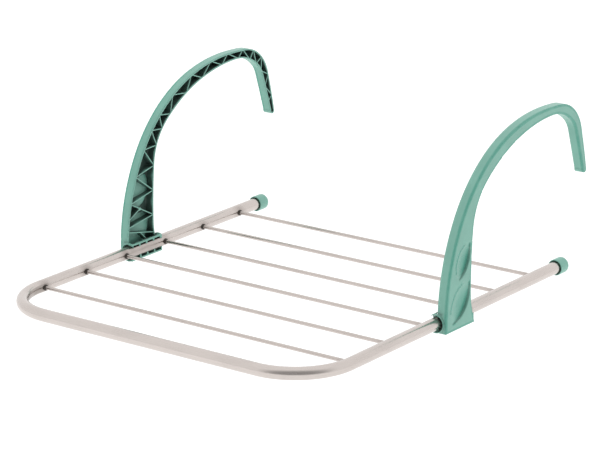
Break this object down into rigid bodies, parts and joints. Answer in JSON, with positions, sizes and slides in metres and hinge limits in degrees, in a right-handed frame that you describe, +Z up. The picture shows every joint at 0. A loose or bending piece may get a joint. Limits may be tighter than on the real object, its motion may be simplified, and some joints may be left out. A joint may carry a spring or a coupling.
{
  "type": "hook-on drying rack",
  "caption": "Hook-on laundry drying rack: bent tube frame with cross rods and two moulded hook arms that fold flat over the rods.",
  "frame": {"origin": "midway between the two hooks, at the crown of their underside, where the top of the rail seats", "axes": "+X to the right, +Y from the front tube towards the rail, +Z up; the rack lies level, in the plane of the tube and rods"},
  "size_m": [0.514, 0.5753, 0.2338],
  "materials": {
    "tube_metal": "polished plated tube",
    "rod_metal": "plated wire rod",
    "bush_rubber": "matt dark brown",
    "cap_plastic": "satin teal moulding",
    "arm_plastic": "satin teal moulding"
  },
  "bodies": {
    "rack_frame": {"frame_tube": "tube_metal", "rod_1": "rod_metal", "rod_2": "rod_metal", "rod_3": "rod_metal", "rod_4": "rod_metal", "rod_5": "rod_metal", "rod_6": "rod_metal", "rod_bush_left_1": "bush_rubber", "rod_bush_left_2": "bush_rubber", "rod_bush_left_3": "bush_rubber", "rod_bush_left_4": "bush_rubber", "rod_bush_left_5": "bush_rubber", "rod_bush_left_6": "bush_rubber", "rod_bush_right_1": "bush_rubber", "rod_bush_right_2": "bush_rubber", "rod_bush_right_3": "bush_rubber", "rod_bush_right_4": "bush_rubber", "rod_bush_right_5": "bush_rubber", "rod_bush_right_6": "bush_rubber", "end_cap_left": "cap_plastic", "end_cap_right": "cap_plastic"},
    "left_arm": {"hook_arm_left": "arm_plastic"},
    "right_arm": {"hook_arm_right": "arm_plastic"}
  },
  "joints": [
    {"name": "left_arm_fold", "type": "hinge", "parent": "rack_frame", "child": "left_arm", "pos_m": [-0.242, -0.1955, -0.2106], "axis": [0, 1, 0], "range_deg": [-90, 89]},
    {"name": "right_arm_fold", "type": "hinge", "parent": "rack_frame", "child": "right_arm", "pos_m": [0.242, -0.1955, -0.2106], "axis": [0, -1, 0], "range_deg": [-90, 89]}
  ]
}
